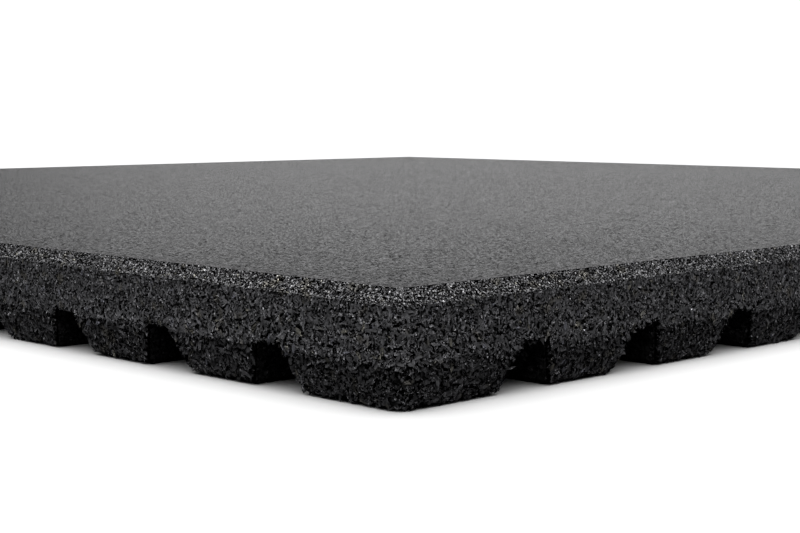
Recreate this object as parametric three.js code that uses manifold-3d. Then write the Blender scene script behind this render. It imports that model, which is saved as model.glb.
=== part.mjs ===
// A square rubber gym floor tile, moulded in one piece from bonded rubber crumb.
// It has a flat walking face with a bevelled rim, upright sides that butt against the next tile,
// and an underside cut by two crossing sets of tapered channels, which leave square feet between them.
// Millimetres, +Z up. The origin is the centre of the tile on the floor that its feet stand on.

import * as THREE from "three";
import { mergeGeometries, mergeVertices } from "three/addons/utils/BufferGeometryUtils.js";
import Module from "manifold-3d";

// Driving dimensions
const SIDE = 1000; // both plan lengths, over the upright sides
const THICKNESS = 40; // floor to walking face
const CORNER_RADIUS = 6; // of the tile's four upright corners, in plan
const CORNER_STEPS = 5; // straight steps in each rounded corner

const BEVEL = 4.5; // height and width of the sloping rim round the walking face
const LIP_HEIGHT = 0.5; // small upright step from the rim to the walking face

const FEET_PER_SIDE = 16; // feet in a row, the two edge feet included
const EDGE_FOOT_WIDTH = 59; // of the outermost feet, where they meet the slab
const CHANNEL_DEPTH = 16.5; // floor to the slab's underside
const CHANNEL_ROOT_WIDTH = 11.5; // at the slab's underside
const CHANNEL_MOUTH_WIDTH = 27; // at the floor, before the feet's softened edges
const OUTER_DRAFT = 5.5; // how far the outer face of an edge foot leans in at the floor
const FOOT_CORNER_RADIUS = 4; // of the four corner feet's outer corners, at the floor
const FOOT_EDGE = 2; // height and width of the softened edge round the sole of each foot

const RUBBER = new THREE.MeshStandardMaterial({
  name: "crumb_rubber",
  color: 0x2c2c2d,
  roughness: 0.85,
  metalness: 0,
});

// Outline of the whole tile, taken in from its sides and rounded at the corners.
function tileOutline(inset, radius) {
  const centre = SIDE / 2 - inset - radius;
  const points = [];
  for (let corner = 0; corner < 4; corner++) {
    const start = (corner * Math.PI) / 2;
    const middle = start + Math.PI / 4;
    const x = Math.sign(Math.cos(middle)) * centre;
    const y = Math.sign(Math.sin(middle)) * centre;
    for (let step = 0; step <= CORNER_STEPS; step++) {
      const angle = start + ((Math.PI / 2) * step) / CORNER_STEPS;
      points.push(new THREE.Vector2(x + radius * Math.cos(angle), y + radius * Math.sin(angle)));
    }
  }
  return points;
}

// A closed surface through a stack of outlines that have the same number of points.
function loft(levels) {
  const count = levels[0].outline.length;
  const position = [];
  for (const { z, outline } of levels) {
    for (const point of outline) position.push(point.x, point.y, z);
  }
  const index = [];
  for (let level = 0; level < levels.length - 1; level++) {
    for (let i = 0; i < count; i++) {
      const next = (i + 1) % count;
      const [a, b] = [level * count + i, level * count + next];
      index.push(a, b, b + count, a, b + count, a + count);
    }
  }
  const top = (levels.length - 1) * count;
  for (const [a, b, c] of THREE.ShapeUtils.triangulateShape(levels[0].outline, [])) {
    index.push(c, b, a);
  }
  for (const [a, b, c] of THREE.ShapeUtils.triangulateShape(levels.at(-1).outline, [])) {
    index.push(top + a, top + b, top + c);
  }
  const geometry = new THREE.BufferGeometry();
  geometry.setAttribute("position", new THREE.Float32BufferAttribute(position, 3));
  geometry.setIndex(index);
  return geometry;
}

// The tile's outer body, as if no channel had been cut: drafted foot faces, upright side, rim and lip.
function outerBody() {
  const draftAt = (z) => OUTER_DRAFT * (1 - z / CHANNEL_DEPTH);
  const rimTop = THICKNESS - LIP_HEIGHT;
  const rimRadius = Math.max(CORNER_RADIUS - BEVEL, LIP_HEIGHT);
  const levels = [
    { z: 0, inset: OUTER_DRAFT + FOOT_EDGE, radius: FOOT_CORNER_RADIUS },
    { z: FOOT_EDGE, inset: draftAt(FOOT_EDGE), radius: FOOT_CORNER_RADIUS },
    { z: CHANNEL_DEPTH, inset: 0, radius: CORNER_RADIUS },
    { z: rimTop - BEVEL, inset: 0, radius: CORNER_RADIUS },
    { z: rimTop, inset: BEVEL, radius: rimRadius },
    { z: THICKNESS, inset: BEVEL, radius: rimRadius },
  ];
  return loft(levels.map(({ z, inset, radius }) => ({ z, outline: tileOutline(inset, radius) })));
}

// How far a channel's wall has leaned into the foot at height z, from where it meets the slab.
function wallLean(z) {
  const draft = (CHANNEL_MOUTH_WIDTH - CHANNEL_ROOT_WIDTH) / 2;
  const straight = draft * (1 - Math.max(z, FOOT_EDGE) / CHANNEL_DEPTH);
  return straight + Math.max(FOOT_EDGE - z, 0);
}

// The two ends of each foot in a row at height z. The outermost feet run on past the tile's sides.
function footSpans(z) {
  const first = -SIDE / 2 + EDGE_FOOT_WIDTH + CHANNEL_ROOT_WIDTH / 2;
  const centre = (i) => first * (1 - (2 * i) / (FEET_PER_SIDE - 2));
  const clear = CHANNEL_ROOT_WIDTH / 2 + wallLean(z);
  const past = SIDE / 2 + 5;
  return Array.from({ length: FEET_PER_SIDE }, (_, i) => [
    i === 0 ? -past : centre(i - 1) + clear,
    i === FEET_PER_SIDE - 1 ? past : centre(i) - clear,
  ]);
}

// All the feet, each a little taller than it shows: its walls run on below the floor and into the slab.
function feet() {
  const heights = [-1, FOOT_EDGE, CHANNEL_DEPTH + 1];
  const spans = heights.map(footSpans);
  const lofts = [];
  for (let row = 0; row < FEET_PER_SIDE; row++) {
    for (let column = 0; column < FEET_PER_SIDE; column++) {
      const levels = heights.map((z, level) => {
        const [x0, x1] = spans[level][column];
        const [y0, y1] = spans[level][row];
        const corners = [[x0, y0], [x1, y0], [x1, y1], [x0, y1]];
        return { z, outline: corners.map(([x, y]) => new THREE.Vector2(x, y)) };
      });
      lofts.push(loft(levels));
    }
  }
  return mergeGeometries(lofts);
}

// The slab that carries the feet, still oversize on its sides and top.
function slab() {
  const height = THICKNESS - CHANNEL_DEPTH + 5;
  const plate = new THREE.BoxGeometry(SIDE + 10, SIDE + 10, height);
  return plate.translate(0, 0, CHANNEL_DEPTH + height / 2);
}

const wasm = await Module();
wasm.setup();

// A closed three.js geometry as a solid that can be joined and cut.
function solidOf(geometry) {
  const bare = geometry.clone();
  bare.deleteAttribute("normal");
  bare.deleteAttribute("uv");
  const merged = mergeVertices(bare, 1e-4);
  return new wasm.Manifold(
    new wasm.Mesh({
      numProp: 3,
      vertProperties: merged.attributes.position.array,
      triVerts: new Uint32Array(merged.index.array),
    }),
  );
}

// A solid's surface as a three.js geometry.
function geometryOf(solid) {
  const { vertProperties, triVerts } = solid.getMesh();
  const geometry = new THREE.BufferGeometry();
  geometry.setAttribute("position", new THREE.BufferAttribute(vertProperties, 3));
  geometry.setIndex(new THREE.BufferAttribute(triVerts, 1));
  return geometry;
}

// Slab and feet joined, then trimmed to the tile's outer body.
const solid = solidOf(slab()).add(solidOf(feet())).intersect(solidOf(outerBody()));

const tile = new THREE.Mesh(geometryOf(solid), RUBBER);
tile.name = "tile";

const floorTile = new THREE.Group();
floorTile.add(tile);

export default floorTile;
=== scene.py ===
"""Looks of a square rubber floor tile pressed from bonded crumb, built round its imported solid."""

import math
from collections import namedtuple

import bmesh
import bpy
import numpy as np
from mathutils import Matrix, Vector


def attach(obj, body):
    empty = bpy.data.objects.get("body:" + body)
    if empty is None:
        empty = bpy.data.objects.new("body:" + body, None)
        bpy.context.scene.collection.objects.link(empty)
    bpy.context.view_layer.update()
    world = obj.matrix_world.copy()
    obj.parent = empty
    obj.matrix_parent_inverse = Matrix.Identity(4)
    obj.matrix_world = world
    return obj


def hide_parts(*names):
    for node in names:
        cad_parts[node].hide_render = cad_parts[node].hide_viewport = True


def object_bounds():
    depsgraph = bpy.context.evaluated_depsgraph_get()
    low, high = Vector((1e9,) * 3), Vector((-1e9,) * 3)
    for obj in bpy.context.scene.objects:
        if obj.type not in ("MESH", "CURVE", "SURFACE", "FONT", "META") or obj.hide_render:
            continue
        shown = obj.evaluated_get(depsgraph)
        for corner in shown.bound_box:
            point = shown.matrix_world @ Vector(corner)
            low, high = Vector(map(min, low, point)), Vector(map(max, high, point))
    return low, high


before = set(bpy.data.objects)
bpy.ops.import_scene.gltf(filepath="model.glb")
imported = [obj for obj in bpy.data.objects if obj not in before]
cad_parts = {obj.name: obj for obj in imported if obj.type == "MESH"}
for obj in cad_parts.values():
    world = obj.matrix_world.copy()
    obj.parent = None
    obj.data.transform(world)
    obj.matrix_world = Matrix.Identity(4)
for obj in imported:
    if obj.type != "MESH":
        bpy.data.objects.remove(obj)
CAD_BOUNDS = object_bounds()

bl_info = {
    "name": "Rubber floor tile",
    "version": (1, 0, 0),
    "blender": (4, 5, 0),
    "location": "3D View > Sidebar > Floor tile",
    "description": "Dresses the solid of a bonded rubber crumb floor tile",
    "category": "Object",
}

# The solid's own sizes, in metres, from the floor up. Each level has its height, how far it stands in
# from the tile's sides, and the radius of its corners in plan. The corner feet are rounded by 2.5 mm
# more than the solid's, which the set-back core allows.
HALF_SIDE = CAD_BOUNDS[1][0]
TOP = CAD_BOUNDS[1][2]
LEVELS = {
    "sole": (0.0, 0.0075, 0.0065),
    "sole_edge": (0.002, 0.004833, 0.0065),
    "slab_bottom": (0.0165, 0.0, 0.006),
    "bevel_bottom": (0.035, 0.0, 0.006),
    "bevel_top": (0.0395, 0.0045, 0.0015),
}
CORNER_RADIUS = 0.006
FEET_PER_SIDE = 16
EDGE_FOOT_WIDTH = 0.059
CHANNEL_DEPTH = 0.0165
CHANNEL_ROOT_WIDTH = 0.0115
CHANNEL_MOUTH_WIDTH = 0.027
SIDES = ("front", "right", "back", "left")

# How the core is set back: which of its points count as lying on the sides and on the walking face
SIDE_ZONE = 0.01  # from the tile's side
FACE_HEIGHT = TOP - 0.0002
RIM_ZONE = LEVELS["bevel_bottom"][0] + 0.002  # under it the sides move in, over it the bevel moves down
FLAT, STEEP = 0.9, 0.8  # upward part of a normal over which a face is flat, and under which it is steep

# How the crumbs lie, in metres, or as shares of a crumb's spacing
EDGE_CLEARANCE = 0.0014  # from the middle of a crumb to the edge of a channel
EASE_HEIGHT = 0.0125  # depth under the slab over which the crumbs turn from upright to the feet's lean
ROW_PITCH = 0.87  # share: from one row of crumbs to the next
JITTER = 0.38  # share: how far a crumb strays from its place in the row
STEEPEST = 0.8  # most that a crumb leans, as rise over run
ROOT_DEPTH = 0.0003  # how far a crumb's root reaches into the core
SHAPES = 64  # different shapes of each kind of crumb
LOWEST, HIGHEST = 0.00005, TOP + 0.0001  # heights between which every corner of a crumb is kept
RIM_SEED = 100  # from the seed of a side's coarse crumbs to that of its fine ones

# A kind of crumb: its spacing, its number of corners, how far its face stands out of the tile's surface, how
# far it leans, its length and breadth as shares of the spacing, its lightest shade (the palest crumbs are
# partly pale rubber and partly painted glints), and how torn it looks.
Kind = namedtuple("Kind", "spacing corners proud lean stretch breadth lightest torn")

# Finish of the rubber
CRUMB_SHADES = (0.7, 1.3)  # darkest and lightest pressed crumb, as shares of the colour
SKIN_GRAIN = 0.8  # chips on a pressed crumb, as a share of its size
SKIN_RELIEF = 0.5  # their relief, as a share of the crumb's
PRESSED_SHINE = 0.08  # roughness of the shine on pressed crumb
TORN_SHINE = 0.35  # roughness of the shine on torn crumb
PLAIN_CONTRAST = 1.4  # contrast between the chips of a flake that isn't broken up
# Painted shade: the colour of a crumb is painted darker with its depth, as the shade in the gaps
PAINTED_SHADE_FALL = 1.4  # how fast crumbs darken with depth
BROKEN_PATCHES = (320.0, 2.0, 0.46, 0.5)  # scale, detail and levels of the noise that breaks flakes up
STAIN_PATCHES = (150.0, 1.0, 0.62, 0.7)  # the same for the brown stains
STAIN = (1.0, 0.96, 0.84, 1.0)

LENGTH = {"unit": "LENGTH", "precision": 5, "min": 0.0}
COLOUR = {"subtype": "COLOR", "size": 4, "min": 0.0, "max": 1.0}


class CrumbSettings(bpy.types.PropertyGroup):
    """Sizes of the rubber crumbs that show on the tile."""

    rim_grain: bpy.props.FloatProperty(
        name="Rim grain", description="Spacing of the crumbs on the bevel", default=0.00088, **LENGTH
    )
    flake: bpy.props.FloatProperty(
        name="Flake", description="Spacing of the flat flakes on the sides, at the floor", default=0.00215,
        **LENGTH,
    )
    grit: bpy.props.FloatProperty(
        name="Grit", description="Spacing of the grit on the sides, at the floor", default=0.00148, **LENGTH
    )
    top_grain: bpy.props.FloatProperty(
        name="Top grain", description="Size of the crumbs on the walking face", default=0.0009, **LENGTH
    )
    under_grain: bpy.props.FloatProperty(
        name="Under grain", description="Size of the crumbs under the tile", default=0.002, **LENGTH
    )
    recess: bpy.props.FloatProperty(
        name="Pit depth", description="Depth of the pits between the crumbs on the sides", default=0.0012,
        **LENGTH,
    )
    rim_recess: bpy.props.FloatProperty(
        name="Rim pit depth", description="Depth of the pits between the crumbs on the bevel",
        default=0.00055, **LENGTH,
    )
    # Painted shade: crumbs are painted darker the deeper they lie, black at this depth
    painted_dark_at: bpy.props.FloatProperty(
        name="Dark at", description="Depth at which no light reaches the crumbs", default=0.00034, **LENGTH
    )
    lean: bpy.props.FloatProperty(
        name="Lean", description="How far a crumb typically leans out of the surface",
        default=math.radians(15), subtype="ANGLE",
    )
    seed: bpy.props.IntProperty(name="Seed", description="Start of the random draws", default=31, min=0)


class ColourSettings(bpy.types.PropertyGroup):
    """Colours of the rubber."""

    rubber: bpy.props.FloatVectorProperty(
        name="Rubber", description="Colour of a common crumb on the sides",
        default=(0.118, 0.1175, 0.124, 1.0), **COLOUR,
    )
    # Painted shade for the core behind the side crumbs, and the own colour of the dark joints of pressed
    # crumb
    pit: bpy.props.FloatVectorProperty(
        name="Pit", description="Colour between the crumbs", default=(0.0012, 0.0012, 0.0013, 1.0), **COLOUR,
    )
    # Painted light: the sides' rubber painted nearly twice as light on the bevel, which faces the overhead
    # key
    bevel_lit_rubber: bpy.props.FloatVectorProperty(
        name="Rim", description="Colour of a common crumb on the bevel",
        default=(0.221, 0.22, 0.228, 1.0), **COLOUR,
    )
    top: bpy.props.FloatVectorProperty(
        name="Walking face", description="Colour of the walking face and the underside",
        default=(0.047, 0.0465, 0.049, 1.0), **COLOUR,
    )


class StageSettings(bpy.types.PropertyGroup):
    """Floor and light."""

    floor: bpy.props.FloatVectorProperty(
        name="Floor", description="Colour of the floor", default=(0.68, 0.68, 0.68, 1.0), **COLOUR,
    )
    softbox: bpy.props.FloatProperty(
        name="Softbox", description="Brightness of the overhead softbox", default=4.05, min=0.0
    )
    bounce: bpy.props.FloatProperty(
        name="Bounce", description="How much light the floor throws back at the tile", default=0.015,
        min=0.0, max=1.0,
    )
    backdrop: bpy.props.FloatProperty(
        name="Backdrop", description="Brightness of the room behind the tile", default=0.73, min=0.0
    )
    front_room: bpy.props.FloatProperty(
        name="Front room", description="Brightness of the room behind the camera", default=0.075, min=0.0
    )


def finish_object(name, mesh, materials):
    """Links a finished mesh as a piece that rides on the tile's one body."""
    piece = bpy.data.objects.new(name, mesh)
    for material in materials:
        mesh.materials.append(material)
    bpy.context.scene.collection.objects.link(piece)
    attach(piece, "root")
    return piece


class NodeBench:
    """Short forms for laying out one node tree."""

    def __init__(self, tree):
        self.tree = tree
        tree.nodes.clear()

    def add(self, kind, settings=None, **inputs):
        node = self.tree.nodes.new(kind)
        for key, value in (settings or {}).items():
            setattr(node, key, value)
        for key, value in inputs.items():
            numbered = key[0] == "_"
            socket = node.inputs[int(key[1:]) if numbered else key.replace("_", " ")]
            if isinstance(value, bpy.types.NodeSocket):
                self.tree.links.new(value, socket)
            else:
                socket.default_value = value
        return node

    def math(self, operation, a, b=0.0, c=0.0):
        return self.add("ShaderNodeMath", {"operation": operation}, _0=a, _1=b, _2=c).outputs[0]

    def vector(self, operation, a, b=(0.0, 0.0, 0.0)):
        node = self.add("ShaderNodeVectorMath", {"operation": operation}, _0=a, _1=b)
        return node.outputs["Value"] if operation == "DOT_PRODUCT" else node.outputs[0]

    def scaled(self, vector, factor):
        node = self.add("ShaderNodeVectorMath", {"operation": "SCALE"}, _0=vector, Scale=factor)
        return node.outputs[0]

    def ranged(self, value, settings=None, **ends):
        return self.add("ShaderNodeMapRange", settings, Value=value, **ends).outputs["Result"]

    def attribute(self, name):
        return self.add("ShaderNodeAttribute", {"attribute_name": name}).outputs["Fac"]


def socket(tree, name, way, kind, default=None):
    made = tree.interface.new_socket(name=name, in_out=way, socket_type=kind)
    if default is not None:
        made.default_value = default


def wandering_cells(bench, given, scale, detail, roughness, reach):
    """Cells one grain across whose edges wander by up to reach grains. Gives the warped place, one random
    number for each cell, and the height of a facet that tilts each cell its own way."""
    middle = (0.5, 0.5, 0.5)
    density = bench.math("DIVIDE", 1.0, given.outputs["Grain"])
    place = bench.scaled(given.outputs["Vector"], density)
    wander = bench.add("ShaderNodeTexNoise", Vector=place, Scale=scale, Detail=detail, Roughness=roughness)
    shift = bench.vector("SUBTRACT", wander.outputs["Color"], middle)
    place = bench.vector("ADD", place, bench.vector("MULTIPLY", shift, (reach, reach, reach)))
    cells = bench.add("ShaderNodeTexVoronoi", {"feature": "F1"}, Vector=place, Scale=1.0, Randomness=1.0)
    lean = bench.vector("SUBTRACT", cells.outputs["Color"], middle)
    offset = bench.vector("SUBTRACT", place, cells.outputs["Position"])
    number = bench.add("ShaderNodeSeparateColor", Color=cells.outputs["Color"]).outputs[1]
    return place, number, bench.vector("DOT_PRODUCT", lean, offset)


def pressed_crumb_group():
    """Crumbs pressed against a mould: tilted facets with narrow dark joints. It gives the crumb's own shade,
    a mask that is 0 in the joints, and a height."""
    joint_depth, crumb_step = 0.35, 0.25
    tree = bpy.data.node_groups.new("pressed_crumb", "ShaderNodeTree")
    socket(tree, "Vector", "INPUT", "NodeSocketVector")
    socket(tree, "Grain", "INPUT", "NodeSocketFloat", 0.0012)
    socket(tree, "Joint", "INPUT", "NodeSocketFloat", 0.12)
    socket(tree, "Tilt", "INPUT", "NodeSocketFloat", 0.5)
    socket(tree, "Shade", "OUTPUT", "NodeSocketFloat")
    socket(tree, "Joints", "OUTPUT", "NodeSocketFloat")
    socket(tree, "Height", "OUTPUT", "NodeSocketFloat")
    bench = NodeBench(tree)
    given = bench.add("NodeGroupInput")
    place, shade, facet = wandering_cells(bench, given, scale=0.9, detail=1.0, roughness=0.5, reach=1.1)
    edges = bench.add(
        "ShaderNodeTexVoronoi", {"feature": "DISTANCE_TO_EDGE"}, Vector=place, Scale=1.0, Randomness=1.0
    )
    inside = bench.ranged(
        edges.outputs["Distance"], {"interpolation_type": "SMOOTHSTEP"}, From_Max=given.outputs["Joint"]
    )
    height = bench.math("MULTIPLY", facet, given.outputs["Tilt"])
    height = bench.math("MULTIPLY_ADD", inside, joint_depth, height)
    height = bench.math("MULTIPLY_ADD", shade, crumb_step, height)
    bench.add("NodeGroupOutput", Shade=shade, Joints=inside, Height=height)
    return tree


def torn_skin_group():
    """Torn rubber close up: small chips, some painted black as painted shade in pits and some painted light
    as painted glints. It gives the level of the colour, which is 0 in the painted pits and 1 on a common
    chip, the chip's own number, and a height."""
    glint_lift, chip_step = 1.5, 0.6
    tree = bpy.data.node_groups.new("torn_skin", "ShaderNodeTree")
    socket(tree, "Vector", "INPUT", "NodeSocketVector")
    socket(tree, "Grain", "INPUT", "NodeSocketFloat", 0.0005)
    socket(tree, "Pits", "INPUT", "NodeSocketFloat", 0.2)
    socket(tree, "Flecks", "INPUT", "NodeSocketFloat", 0.05)
    socket(tree, "Contrast", "INPUT", "NodeSocketFloat", 4.0)
    socket(tree, "Level", "OUTPUT", "NodeSocketFloat")
    socket(tree, "Chip", "OUTPUT", "NodeSocketFloat")
    socket(tree, "Height", "OUTPUT", "NodeSocketFloat")
    bench = NodeBench(tree)
    given = bench.add("NodeGroupInput")
    _, chip, facet = wandering_cells(bench, given, scale=0.8, detail=2.0, roughness=0.7, reach=2.2)
    spread = bench.math("POWER", given.outputs["Contrast"], bench.math("SUBTRACT", chip, 0.5))
    # Painted shade: the chips of the pits share are painted black; painted highlight: the glint share is
    # painted lighter
    open_chip = bench.math("GREATER_THAN", chip, given.outputs["Pits"])
    glint = bench.math("GREATER_THAN", chip, bench.math("SUBTRACT", 1.0, given.outputs["Flecks"]))
    level = bench.math("MULTIPLY", spread, open_chip)
    level = bench.math("MULTIPLY", level, bench.math("MULTIPLY_ADD", glint, glint_lift, 1.0))
    height = bench.math("MULTIPLY_ADD", chip, chip_step, facet)
    bench.add("NodeGroupOutput", Level=level, Chip=chip, Height=height)
    return tree


def new_material(name):
    """A material, the bench for its nodes, and the place on the piece that its patterns follow."""
    material = bpy.data.materials.new(name)
    material.use_nodes = True
    bench = NodeBench(material.node_tree)
    place = bench.add("ShaderNodeTexCoord").outputs["Object"]
    return material, bench, place


def close_material(bench, colour, normal, roughness, specular, coat=None):
    """The shader at the end of a material. coat is the weight and roughness of a thin shine on it."""
    shader = bench.add("ShaderNodeBsdfPrincipled", Base_Color=colour, Normal=normal, Roughness=roughness)
    shader.inputs["Specular IOR Level"].default_value = specular
    if coat:
        weight, coat_roughness = coat
        bench.tree.links.new(weight, shader.inputs["Coat Weight"])
        shader.inputs["Coat Roughness"].default_value = coat_roughness
    bench.add("ShaderNodeOutputMaterial", Surface=shader.outputs[0])


def stretched(bench, value, low, high):
    """A value between 0 and 1 stretched to run from low to high."""
    return bench.ranged(value, To_Min=low, To_Max=high)


def glossed(bench, level, share):
    """Weight of the shine, which fades with the level of the colour and never goes over share."""
    return bench.math("MULTIPLY", bench.math("MINIMUM", level, 1.0), share)


def pressed_material(name, groups, colour, pit, grain, settings):
    """Rubber crumb pressed flat: the walking face and everything under the tile."""
    _, bench, place = new_material(name)
    relief = grain * settings["relief"]
    crumb = bench.add(
        "ShaderNodeGroup", {"node_tree": groups["crumb"]},
        Vector=place, Grain=grain, Joint=settings["joint"], Tilt=settings["tilt"],
    )
    skin = bench.add(
        "ShaderNodeGroup", {"node_tree": groups["skin"]},
        Vector=place, Grain=grain * SKIN_GRAIN, Pits=settings["pits"], Flecks=settings["flecks"],
        Contrast=settings["contrast"],
    )
    shade = stretched(bench, crumb.outputs["Shade"], *CRUMB_SHADES)
    # The skin's level carries painted shade in its pits and painted glints
    level = bench.math("MULTIPLY", shade, skin.outputs["Level"])
    mixed = bench.add(
        "ShaderNodeMix", {"data_type": "RGBA"},
        Factor=crumb.outputs["Joints"], _6=pit, _7=bench.scaled(colour[:3], level),
    ).outputs[2]
    coarse = bench.add("ShaderNodeBump", Height=crumb.outputs["Height"], Distance=relief)
    fine = bench.add(
        "ShaderNodeBump", Height=skin.outputs["Height"], Distance=relief * SKIN_RELIEF,
        Normal=coarse.outputs["Normal"],
    )
    rough = stretched(bench, crumb.outputs["Shade"], *settings["rough"])
    coat = None
    if settings["gloss"]:
        gloss = glossed(bench, level, settings["gloss"])
        coat = (bench.math("MULTIPLY", gloss, crumb.outputs["Joints"]), PRESSED_SHINE)
    close_material(bench, mixed, fine.outputs["Normal"], rough, settings["specular"], coat)


def crumb_colours(bench, rubber, spread):
    """The spread of colours among crumbs, read from each crumb's own shade: a few are olive or blue, and the
    few pale ones are partly pale rubber and partly painted glints.
    """
    ramp = bench.add("ShaderNodeValToRGB", Fac=bench.attribute("shade"))
    rubber = np.array(rubber[:3])
    olive, blue = rubber * (1.06, 1.03, 0.86), rubber * (0.97, 0.98, 1.07)
    common = [(0.0, -0.4), (0.25, -0.15), (0.5, 0.0), (0.75, 0.15), (0.955, 0.6)]
    stops = [(position, rubber * (1 + spread * change)) for position, change in common]
    stops += [
        (0.956, olive), (0.97, olive * 1.5), (0.971, blue), (0.985, blue * 1.5),
        # Partly painted highlight: the palest crumbs stand partly for pale rubber and partly for glints
        (0.986, rubber * 2), (1.0, rubber * 8),
    ]
    elements = ramp.color_ramp.elements
    while len(elements) < len(stops):
        elements.new(0.5)
    for element, (position, colour) in zip(elements, stops):
        element.position = position
        element.color = (*colour, 1.0)
    return ramp.outputs["Color"]


def patches(bench, place, scale, detail, low, high):
    """Soft patches: 0 where a noise lies under low and 1 where it lies over high."""
    noise = bench.add("ShaderNodeTexNoise", Vector=place, Scale=scale, Detail=detail)
    return bench.ranged(noise.outputs["Fac"], From_Min=low, From_Max=high)


def crumb_material(name, groups, colour, settings):
    """Torn rubber crumbs. Flat flakes stay plain, torn ones break up into chips with painted-shade pits and
    painted glints, and painted shade darkens both with depth.
    """
    _, bench, place = new_material(name)
    broken = bench.math("MAXIMUM", patches(bench, place, *BROKEN_PATCHES), bench.attribute("torn"))
    skin = bench.add(
        "ShaderNodeGroup", {"node_tree": groups["skin"]}, Vector=place, Grain=settings["chip"],
        Pits=bench.math("MULTIPLY", broken, settings["pits"]),
        Flecks=bench.math("MULTIPLY", broken, settings["flecks"]),
        Contrast=stretched(bench, broken, PLAIN_CONTRAST, settings["contrast"]),
    )
    # Painted shade: the colour darkens with each corner's depth under the tile's surface
    depth = bench.math("POWER", bench.attribute("painted_openness"), PAINTED_SHADE_FALL)
    level = bench.math("MULTIPLY", skin.outputs["Level"], depth)
    stained = bench.add(
        "ShaderNodeMix", {"data_type": "RGBA", "blend_type": "MULTIPLY"},
        Factor=patches(bench, place, *STAIN_PATCHES),
        _6=crumb_colours(bench, colour, settings["spread"]), _7=STAIN,
    ).outputs[2]
    relief = bench.add(
        "ShaderNodeBump", Height=skin.outputs["Height"], Distance=settings["chip"] * settings["relief"]
    )
    rough = stretched(bench, skin.outputs["Chip"], *settings["rough"])
    coat = (glossed(bench, level, settings["gloss"]), TORN_SHINE)
    close_material(
        bench, bench.scaled(stained, level), relief.outputs["Normal"], rough, settings["specular"], coat
    )


def make_materials(context):
    """All the finishes, made once and kept for every piece."""
    crumb = context.scene.tile_crumb
    colours = context.scene.tile_colours
    if "torn_crumb" in bpy.data.materials:
        return
    groups = {"crumb": pressed_crumb_group(), "skin": torn_skin_group()}
    rubber, pit, bevel_lit_rubber, top = (tuple(getattr(colours, part)) for part in ("rubber", "pit", "bevel_lit_rubber", "top"))
    # In these settings, pits is the share of chips painted black as painted shade, and the glint share that
    # of chips painted lighter as painted glints
    crumb_material("torn_crumb", groups, rubber, {
        "chip": 0.00042, "pits": 0.5, "flecks": 0.05, "contrast": 3.8, "relief": 0.45, "rough": (0.6, 0.4),
        "specular": 0.1, "gloss": 0.4, "spread": 1.0,
    })
    # Painted light: the bevel crumbs take the lighter bevel colour
    crumb_material("fine_crumb", groups, bevel_lit_rubber, {
        "chip": 0.00036, "pits": 0.47, "flecks": 0.03, "contrast": 5.0, "relief": 0.4, "rough": (0.55, 0.35),
        "specular": 0.1, "gloss": 0.6, "spread": 0.4,
    })
    pressed_material("walking_face", groups, top, pit, crumb.top_grain, {
        "joint": 0.16, "tilt": 1.2, "pits": 0.29, "flecks": 0.1, "contrast": 4.0, "rough": (0.6, 0.9),
        "relief": 0.3, "specular": 0.1, "gloss": 0.7,
    })
    pressed_material("moulded_underside", groups, top, pit, crumb.under_grain, {
        "joint": 0.14, "tilt": 0.9, "pits": 0.15, "flecks": 0.05, "contrast": 3.0, "rough": (0.5, 0.8),
        "relief": 0.4, "specular": 0.1, "gloss": 0.0,
    })
    # Painted shade: the core behind the side crumbs is painted near black
    pressed_material("painted_pit_shade", groups, pit, pit, crumb.rim_grain, {
        "joint": 0.2, "tilt": 0.9, "pits": 0.3, "flecks": 0.0, "contrast": 3.0, "rough": (0.8, 0.95),
        "relief": 0.4, "specular": 0.0, "gloss": 0.0,
    })


class TILE_OT_core(bpy.types.Operator):
    """Make the tile's core: the solid with its sides set back behind the crumbs"""

    bl_idname = "floor_tile.core"
    bl_label = "Core"

    def execute(self, context):
        make_materials(context)
        crumb = context.scene.tile_crumb
        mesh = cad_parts["tile"].data.copy()
        mesh.name = "core"
        mesh.materials.clear()
        shell = bmesh.new()
        shell.from_mesh(mesh)
        bmesh.ops.remove_doubles(shell, verts=shell.verts, dist=1e-5)
        side = HALF_SIDE - SIDE_ZONE
        for vertex in shell.verts:
            place = vertex.co
            if place.z < RIM_ZONE:
                for axis in (0, 1):
                    if abs(place[axis]) > side:
                        place[axis] -= math.copysign(crumb.recess, place[axis])
            elif place.z < FACE_HEIGHT:
                place.z -= crumb.rim_recess * math.sqrt(2)
        shell.normal_update()
        # Painted shade: the set-back sides of the core are painted near black
        walking_face, painted_pit_shade, moulded_underside = range(3)
        for face in shell.faces:
            face.smooth = False
            centre, upward = face.calc_center_median(), face.normal.z
            if upward > FLAT and centre.z > FACE_HEIGHT:
                face.material_index = walking_face
            elif max(abs(centre.x), abs(centre.y)) > side and abs(upward) < STEEP:
                face.material_index = painted_pit_shade
            else:
                face.material_index = moulded_underside
        shell.to_mesh(mesh)
        shell.free()
        names = ("walking_face", "painted_pit_shade", "moulded_underside")
        core = finish_object("tile_core", mesh, [bpy.data.materials[name] for name in names])
        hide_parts("tile")
        return {"FINISHED"}


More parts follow.
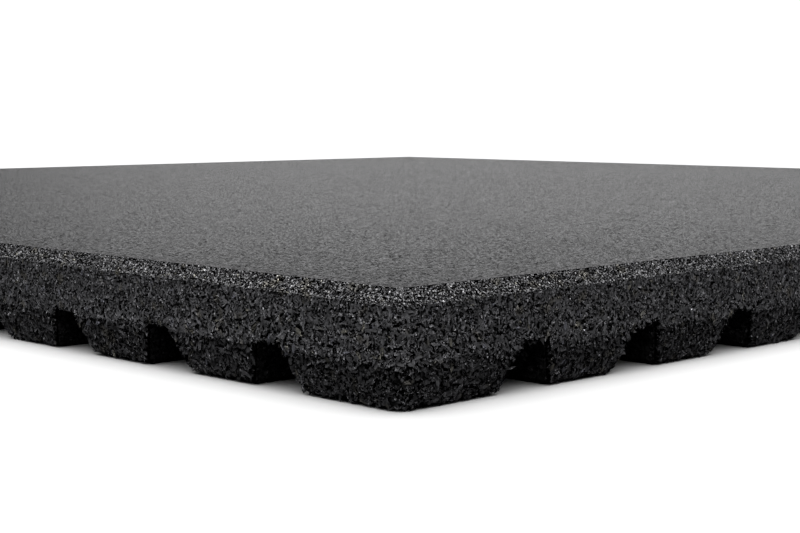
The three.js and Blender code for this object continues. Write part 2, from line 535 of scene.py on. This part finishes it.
def shard_shapes(rng, count, corners):
    """Shards one unit across and one deep, each with a torn, nearly flat outer face over a single root."""
    radius, corner_reach, corner_lift, root_shift, skew = 0.56, (0.55, 1.3), 0.06, 0.3, 0.4
    block = bmesh.new()
    bmesh.ops.create_cone(
        block, cap_ends=True, cap_tris=False, segments=corners, radius1=0.0, radius2=radius, depth=1.0
    )
    bmesh.ops.triangulate(block, faces=block.faces)
    block.verts.ensure_lookup_table()
    points = np.array([vertex.co[:] for vertex in block.verts])
    faces = np.array([[vertex.index for vertex in face.verts] for face in block.faces])
    block.free()
    shapes = np.repeat(points[None], count, axis=0)
    outer = points[:, 2] > 0
    shapes[:, outer, :2] *= rng.uniform(*corner_reach, (count, corners, 1))
    shapes[:, outer, 2] += rng.uniform(-corner_lift, corner_lift, (count, corners))
    shapes[:, ~outer, :2] += rng.uniform(-root_shift, root_shift, (count, 1, 2))
    shapes[:, :, 0] += shapes[:, :, 1] * rng.uniform(-skew, skew, (count, 1))
    return shapes, faces


def channel_reach(height):
    """Half the width of a channel at each height."""
    lean = (CHANNEL_MOUTH_WIDTH - CHANNEL_ROOT_WIDTH) / 2
    return CHANNEL_ROOT_WIDTH / 2 + lean * (1 - height / CHANNEL_DEPTH)


def channel_row():
    """Middle of the first channel along a side, and the distance from each to the next."""
    first = HALF_SIDE - EDGE_FOOT_WIDTH - CHANNEL_ROOT_WIDTH / 2
    return -first, 2 * first / (FEET_PER_SIDE - 2)


def over_channel(along, height):
    """Whether a crumb on a side, by its distance along it and its height, would hang over a channel."""
    first, pitch = channel_row()
    nearest = np.clip(np.round((along - first) / pitch), 0, FEET_PER_SIDE - 2) * pitch + first
    reach = channel_reach(np.minimum(height, CHANNEL_DEPTH)) + EDGE_CLEARANCE
    return (height < CHANNEL_DEPTH + EDGE_CLEARANCE) & (np.abs(along - nearest) < reach)


def side_reach():
    """Distance along a side from its middle to the middle of its rounded corner."""
    return HALF_SIDE - CORNER_RADIUS + CORNER_RADIUS * math.pi / 4


def outline(along, inset, radius):
    """Place and outward direction in plan, on the front side, for a distance along it from its middle."""
    straight = HALF_SIDE - CORNER_RADIUS
    turn = np.clip((np.abs(along) - straight) / CORNER_RADIUS, 0.0, math.pi / 4)
    centre = HALF_SIDE - inset - radius
    side = np.sign(along)
    x = np.clip(along / straight, -1, 1) * centre + side * radius * np.sin(turn)
    y = -(centre + radius * np.cos(turn))
    return np.stack([x, y], -1), np.stack([side * np.sin(turn), -np.cos(turn)], -1)


def rows(low, high, grain_low, grain_high, rng, reach):
    """Jittered places on a strip between two levels: distance along the side, and how far up the strip."""
    (z0, inset0, _), (z1, inset1, _) = LEVELS[low], LEVELS[high]
    width = math.hypot(z1 - z0, inset1 - inset0)
    along, up, grain = [], [], []
    at = 0.0
    while at < width:
        size = grain_low + (grain_high - grain_low) * at / width
        count = int(round(2 * reach / size))
        places = (np.arange(count) + rng.uniform(0.0, 1.0)) / count * 2 * reach - reach
        along.append(places + rng.uniform(-JITTER, JITTER, count) * size)
        up.append((at + rng.uniform(-JITTER, JITTER, count) * size) / width)
        grain.append(np.full(count, size))
        at += size * ROW_PITCH
    return np.concatenate(along), np.concatenate(up), np.concatenate(grain)


def strip_places(low, high, grain_low, grain_high, rng):
    """Places, normals and tangents of the crumbs on one strip of the front side."""
    reach = side_reach()
    along, up, grain = rows(low, high, grain_low, grain_high, rng, reach)
    along = np.clip(along, -reach, reach)
    up = np.clip(up, 0.0, 1.0)
    (z0, inset0, radius0), (z1, inset1, radius1) = LEVELS[low], LEVELS[high]
    height = z0 + (z1 - z0) * up
    plan, outward = outline(along, inset0 + (inset1 - inset0) * up, radius0 + (radius1 - radius0) * up)
    slope = math.hypot(z1 - z0, inset1 - inset0)
    fall, rise = (inset1 - inset0) / slope, (z1 - z0) / slope
    lean = np.ones(len(up))
    if high == "slab_bottom":
        lean = np.clip((CHANNEL_DEPTH - height) / EASE_HEIGHT, 0.0, 1.0)
    normal = unit(np.concatenate([outward * rise, (fall * lean)[:, None]], -1))
    tangent = np.stack([-outward[:, 1], outward[:, 0], np.zeros(len(up))], -1)
    place = np.concatenate([plan, height[:, None]], -1)
    keep = ~over_channel(plan[:, 0], height)
    return [part[keep] for part in (place, normal, tangent, grain)]


def channel_edge_places(spacing, rng):
    """Places, normals and tangents of the crumbs that line the mouths of the channels on the front side."""
    above_sole, back_range, lean = 0.002, (0.0002, 0.0008), 0.6
    sole_height, sole_inset, _ = LEVELS["sole_edge"]
    draft = sole_inset / (CHANNEL_DEPTH - sole_height)
    first, pitch = channel_row()
    channels = FEET_PER_SIDE - 1
    middle = first + pitch * np.arange(channels)[:, None]
    low = sole_height + above_sole
    foot, root = channel_reach(low), channel_reach(CHANNEL_DEPTH)
    bend = [(-foot, low), (-root, CHANNEL_DEPTH), (root, CHANNEL_DEPTH), (foot, low)]
    place, normal, tangent = [], [], []
    for (x0, z0), (x1, z1) in zip(bend, bend[1:]):
        length = math.hypot(x1 - x0, z1 - z0)
        count = int(round(length / spacing))
        share = (np.arange(count) + rng.uniform(0.1, 0.9, (channels, count))) / count
        away = np.array((z0 - z1, x1 - x0)) / length
        back = rng.uniform(*back_range, share.shape)
        x = middle + x0 + (x1 - x0) * share + away[0] * back
        z = z0 + (z1 - z0) * share + away[1] * back
        y = -(HALF_SIDE - draft * np.maximum(CHANNEL_DEPTH - z, 0.0))
        place.append(np.stack([x, y, z], -1).reshape(-1, 3))
        facing = unit(np.array([(-away[0] * lean, -1.0, -away[1] * lean)]))
        normal.append(np.tile(facing, (share.size, 1)))
        tangent.append(np.tile(np.array([(away[1], 0.0, -away[0])]), (share.size, 1)))
    place = np.concatenate(place)
    return [place, np.concatenate(normal), np.concatenate(tangent), np.full(len(place), spacing)]


def unit(vectors):
    return vectors / np.linalg.norm(vectors, axis=-1, keepdims=True)


def lay_crumbs(strip, shapes, rng, kind, root, sunk=0.0):
    """Corner places of the crumbs laid on one strip, each with its height over the tile's own surface. root
    is how deep they go, and sunk how much deeper than their kind says their faces lie."""
    place, normal, tangent, grain = strip
    count = len(place)
    upward = np.cross(normal, tangent)
    turn = rng.uniform(0, math.tau, (count, 1))
    long_way = np.cos(turn) * tangent + np.sin(turn) * upward
    cross_way = np.cross(normal, long_way)
    tilt = np.clip(rng.normal(0.0, 1.0, (count, 2)) * math.tan(kind.lean), -STEEPEST, STEEPEST)
    facing = unit(normal + tilt[:, :1] * long_way + tilt[:, 1:] * cross_way)
    long_way = unit(long_way - (long_way * facing).sum(-1, keepdims=True) * facing)
    cross_way = np.cross(facing, long_way)
    outer = rng.uniform(kind.proud[0] - sunk, kind.proud[1] - sunk, count)
    depth = outer + root
    length = grain * rng.uniform(*kind.stretch, count)
    size = np.stack([length, grain * rng.uniform(*kind.breadth, count), depth], -1)
    middle = place + normal * (outer - depth / 2)[:, None]
    local = shapes[rng.integers(0, len(shapes), count)] * size[:, None, :]
    corners = (
        middle[:, None, :]
        + local[..., :1] * long_way[:, None, :]
        + local[..., 1:2] * cross_way[:, None, :]
        + local[..., 2:] * facing[:, None, :]
    )
    height = ((corners - place[:, None, :]) * normal[:, None, :]).sum(-1)
    return np.concatenate([corners, height[..., None]], -1)


def crumb_mesh(name, batches, quarter_turns, rng, painted_dark_at):
    """One joined mesh of all the crumbs given, turned to its side of the tile. A batch has its crumbs, their
    faces and their kind. Each corner also says how open it lies, from which the material paints shade on it:
    1 on the tile's surface and 0 at the given depth, where the painted shade turns black."""
    cos, sin = ((1, 0), (0, 1), (-1, 0), (0, -1))[quarter_turns]
    points, index = [], []
    values = {"shade": [], "torn": [], "painted_openness": []}
    start = 0
    for crumbs, faces, kind in batches:
        count, corners = crumbs.shape[:2]
        points.append(crumbs[..., :3].reshape(-1, 3))
        index.append((faces[None] + (start + np.arange(count) * corners)[:, None, None]).reshape(-1))
        values["shade"].append(np.repeat(rng.uniform(0, kind.lightest, count), corners))
        values["torn"].append(np.full(count * corners, kind.torn))
        values["painted_openness"].append(np.clip(1 + crumbs[..., 3].reshape(-1) / painted_dark_at, 0, 1))
        start += count * corners
    points, index = np.concatenate(points), np.concatenate(index)
    turned = np.stack([
        points[:, 0] * cos - points[:, 1] * sin,
        points[:, 0] * sin + points[:, 1] * cos,
        np.clip(points[:, 2], LOWEST, HIGHEST),
    ], -1)
    mesh = bpy.data.meshes.new(name)
    mesh.vertices.add(len(turned))
    mesh.vertices.foreach_set("co", turned.reshape(-1))
    mesh.loops.add(len(index))
    mesh.loops.foreach_set("vertex_index", index)
    mesh.polygons.add(len(index) // 3)
    mesh.polygons.foreach_set("loop_start", np.arange(0, len(index), 3))
    for label, parts in values.items():
        mesh.attributes.new(label, "FLOAT", "POINT").data.foreach_set("value", np.concatenate(parts))
    mesh.update(calc_edges=True)
    mesh.validate()
    mesh.shade_flat()
    return mesh


class TILE_OT_side_crumb(bpy.types.Operator):
    """Lay the coarse crumbs on the upright sides and the outer faces of the feet"""

    bl_idname = "floor_tile.side_crumb"
    bl_label = "Side crumb"

    def execute(self, context):
        make_materials(context)
        crumb = context.scene.tile_crumb
        for turns, side in enumerate(SIDES):
            rng = np.random.default_rng(crumb.seed + turns)
            name = f"side_crumb_{side}"
            mesh = crumb_mesh(name, self.batches(crumb, rng), turns, rng, crumb.painted_dark_at)
            finish_object(name, mesh, [bpy.data.materials["torn_crumb"]])
        return {"FINISHED"}

    def batches(self, crumb, rng):
        """The crumbs of one side: flat flakes, torn grit that lies deeper between them, and a lining of grit
        along the mouths of the channels."""
        root = crumb.recess + ROOT_DEPTH
        # The levels a strip runs between, the crumbs' size at each, and how far their faces are sunk. Sunk
        # faces also get more painted shade.
        strips = (
            ("sole", "sole_edge", 1.0, 1.0, 0.0003),
            ("sole_edge", "slab_bottom", 1.0, 0.92, 0.00007),
            ("slab_bottom", "bevel_bottom", 0.92, 0.62, 0.0),
        )
        flake = Kind(
            spacing=crumb.flake, corners=5, proud=(-0.00015, 0.00008), lean=crumb.lean * 0.3,
            stretch=(1.2, 2.4), breadth=(0.5, 1.0), lightest=0.991, torn=0.0,
        )
        grit = Kind(
            spacing=crumb.grit, corners=3, proud=(-0.0006, 0.0), lean=crumb.lean * 1.5,
            stretch=(1.2, 2.6), breadth=(0.55, 1.0), lightest=1.0, torn=1.0,
        )
        lining = grit._replace(lean=crumb.lean, stretch=(1.0, 1.6), breadth=(0.7, 1.1), lightest=0.9)
        batches = []
        for kind in (flake, grit):
            shapes, faces = shard_shapes(rng, SHAPES, kind.corners)
            laid = []
            for low, high, low_size, high_size, sunk in strips:
                strip = strip_places(low, high, kind.spacing * low_size, kind.spacing * high_size, rng)
                laid.append(lay_crumbs(strip, shapes, rng, kind, root, sunk))
            batches.append((np.concatenate(laid), faces, kind))
        edge = channel_edge_places(lining.spacing, rng)
        batches.append((lay_crumbs(edge, shapes, rng, lining, root), faces, lining))
        return batches


class TILE_OT_rim_crumb(bpy.types.Operator):
    """Lay the fine crumbs on the bevel and along its upper edge"""

    bl_idname = "floor_tile.rim_crumb"
    bl_label = "Rim crumb"

    def execute(self, context):
        make_materials(context)
        crumb = context.scene.tile_crumb
        for turns, side in enumerate(SIDES):
            rng = np.random.default_rng(crumb.seed + RIM_SEED + turns)
            name = f"rim_crumb_{side}"
            mesh = crumb_mesh(name, self.batches(crumb, rng), turns, rng, crumb.painted_dark_at)
            finish_object(name, mesh, [bpy.data.materials["fine_crumb"]])
        return {"FINISHED"}

    def batches(self, crumb, rng):
        """The crumbs of one side's bevel, and those that fill the small step over it and fray its edge."""
        bevel_root, lip_root = crumb.rim_recess + ROOT_DEPTH, 0.0008
        grain = crumb.rim_grain
        bevel = Kind(
            spacing=grain, corners=3, proud=(-0.0003, 0.0001), lean=crumb.lean,
            stretch=(1.1, 2.1), breadth=(0.7, 1.2), lightest=0.985, torn=1.0,
        )
        lip = bevel._replace(proud=(-0.0001, 0.0001), stretch=(0.8, 1.6), breadth=(0.5, 0.9))
        shapes, faces = shard_shapes(rng, SHAPES, bevel.corners)
        strip = strip_places("bevel_bottom", "bevel_top", grain, grain, rng)
        laid = [lay_crumbs(strip, shapes, rng, bevel, bevel_root)]
        laid.append(lay_crumbs(self.lip_places(grain, rng), shapes, rng, lip, lip_root))
        return [(np.concatenate(laid), faces, bevel)]

    def lip_places(self, grain, rng):
        """Places, normals and tangents of the crumbs on the small step, strewn from its top to its foot."""
        below_top, face_offset, foot_offset, rise = 0.0001, -0.00003, 0.0004, 0.8
        reach = side_reach()
        count = int(4 * reach / grain)
        along = rng.uniform(-reach, reach, count)
        foot, inset, radius = LEVELS["bevel_top"]
        plan, outward = outline(along, inset, radius)
        drop = rng.uniform(0.0, 1.0, (count, 1))
        plan = plan + outward * (drop * foot_offset + face_offset)
        place = np.concatenate([plan, TOP - below_top - drop * (TOP - foot)], -1)
        normal = unit(np.concatenate([outward, np.full((count, 1), rise)], -1))
        tangent = np.stack([-outward[:, 1], outward[:, 0], np.zeros(count)], -1)
        return place, normal, tangent, np.full(count, grain)


# Where the light comes from: a soft key high in front of the near corner, and a white backdrop low behind the
# tile. A lobe has the cosines, off its direction, at which its light sets in and is full.
KEY_WAY = (-0.225, -0.195, 0.955)
KEY_LOBE = (0.65, 0.9)
BACKDROP_WAY = (0.743, 0.669, 0.0)
BACKDROP_LOBE = (0.89, 1.0)
BAND = (0.05, 0.15)  # sines of the angles over the horizon between which the backdrop dims
BAND_DIM = 0.27  # what is left of it over them
WHITE = (1.0, 1.0, 1.0, 1.0)
BACKGROUND = 1.2  # brightness of the white that the camera sees past the floor
FLOOR_REACH = 30.0

# The camera, in the frame's metres and degrees, as fitted to the rims and feet in the photograph.
CAMERA_PLACE = (-0.842423, -0.847343, 0.095354)
CAMERA_YAW = 44.59
CAMERA_PITCH = 5.612
CAMERA_LENS = 71.727


class TILE_OT_stage(bpy.types.Operator):
    """Set up the floor, the soft light and the camera"""

    bl_idname = "floor_tile.stage"
    bl_label = "Stage"

    def execute(self, context):
        settings = context.scene.tile_stage
        scene = context.scene
        scene.view_settings.view_transform = "Standard"
        scene.view_settings.look = "None"
        self.floor(settings)
        self.world(scene, settings)
        self.camera(scene)
        return {"FINISHED"}

    def floor(self, settings):
        sheet = bmesh.new()
        bmesh.ops.create_grid(sheet, x_segments=1, y_segments=1, size=FLOOR_REACH)
        mesh = bpy.data.meshes.new("floor")
        sheet.to_mesh(mesh)
        sheet.free()
        material, bench, _ = new_material("floor_white")
        seen = bench.add("ShaderNodeBsdfDiffuse", Color=tuple(settings.floor))
        bounce = bench.add("ShaderNodeBsdfDiffuse", Color=(settings.bounce,) * 3 + (1.0,))
        bench.add("ShaderNodeOutputMaterial", Surface=self.seen_or_lit(bench, seen, bounce))
        mesh.materials.append(material)
        floor = bpy.data.objects.new("floor", mesh)
        bpy.context.scene.collection.objects.link(floor)

    def world(self, scene, settings):
        world = bpy.data.worlds.new("white_room")
        world.use_nodes = True
        bench = NodeBench(world.node_tree)
        way = bench.add("ShaderNodeTexCoord").outputs["Generated"]
        rise = bench.add("ShaderNodeSeparateXYZ", Vector=way).outputs["Z"]
        soft = {"interpolation_type": "SMOOTHSTEP"}
        band = bench.ranged(rise, soft, From_Min=BAND[0], From_Max=BAND[1], To_Min=1.0, To_Max=BAND_DIM)
        lights = (
            (KEY_WAY, KEY_LOBE, settings.softbox),
            (BACKDROP_WAY, BACKDROP_LOBE, bench.math("MULTIPLY", band, settings.backdrop)),
        )
        level = settings.front_room
        for direction, (edge, full), strength in lights:
            facing = bench.vector("DOT_PRODUCT", way, direction)
            share = bench.ranged(facing, soft, From_Min=edge, From_Max=full)
            level = bench.math("MULTIPLY_ADD", share, strength, level)
        lit = bench.add("ShaderNodeBackground", Color=WHITE, Strength=level)
        seen = bench.add("ShaderNodeBackground", Color=WHITE, Strength=BACKGROUND)
        bench.add("ShaderNodeOutputWorld", Surface=self.seen_or_lit(bench, seen, lit))
        scene.world = world

    def seen_or_lit(self, bench, seen, lit):
        """One shader for the camera and another for the light that falls on the tile."""
        path = bench.add("ShaderNodeLightPath")
        mix = bench.add(
            "ShaderNodeMixShader", _0=path.outputs["Is Camera Ray"], _1=lit.outputs[0], _2=seen.outputs[0]
        )
        return mix.outputs[0]

    def camera(self, scene):
        camera = bpy.data.cameras.new("camera")
        camera.sensor_fit = "HORIZONTAL"
        camera.sensor_width = 36.0
        camera.lens = CAMERA_LENS
        camera.clip_start = 0.01
        holder = bpy.data.objects.new("camera", camera)
        yaw, pitch = math.radians(CAMERA_YAW), math.radians(CAMERA_PITCH)
        forward = Vector((
            math.sin(yaw) * math.cos(pitch), math.cos(yaw) * math.cos(pitch), -math.sin(pitch),
        ))
        holder.location = CAMERA_PLACE
        holder.rotation_euler = forward.to_track_quat("-Z", "Y").to_euler()
        scene.collection.objects.link(holder)
        scene.camera = holder


class TILE_PT_panel(bpy.types.Panel):
    """The tile's settings and building steps"""

    bl_idname = "TILE_PT_panel"
    bl_label = "Rubber floor tile"
    bl_space_type = "VIEW_3D"
    bl_region_type = "UI"
    bl_category = "Floor tile"

    def draw(self, context):
        scene = context.scene
        for title, group in (
            ("Crumb", scene.tile_crumb), ("Colours", scene.tile_colours), ("Stage", scene.tile_stage),
        ):
            box = self.layout.box()
            box.label(text=title)
            for name in group.__annotations__:
                box.prop(group, name)
        for operator in OPERATORS:
            self.layout.operator(operator.bl_idname)


OPERATORS = (TILE_OT_core, TILE_OT_side_crumb, TILE_OT_rim_crumb, TILE_OT_stage)
CLASSES = (CrumbSettings, ColourSettings, StageSettings, *OPERATORS, TILE_PT_panel)


def register():
    for kind in CLASSES:
        bpy.utils.register_class(kind)
    bpy.types.Scene.tile_crumb = bpy.props.PointerProperty(type=CrumbSettings)
    bpy.types.Scene.tile_colours = bpy.props.PointerProperty(type=ColourSettings)
    bpy.types.Scene.tile_stage = bpy.props.PointerProperty(type=StageSettings)


def unregister():
    del bpy.types.Scene.tile_stage
    del bpy.types.Scene.tile_colours
    del bpy.types.Scene.tile_crumb
    for kind in reversed(CLASSES):
        bpy.utils.unregister_class(kind)


def main():
    register()
    bpy.ops.floor_tile.core()
    bpy.ops.floor_tile.side_crumb()
    bpy.ops.floor_tile.rim_crumb()
    bpy.ops.floor_tile.stage()


if __name__ == "__main__":
    main()
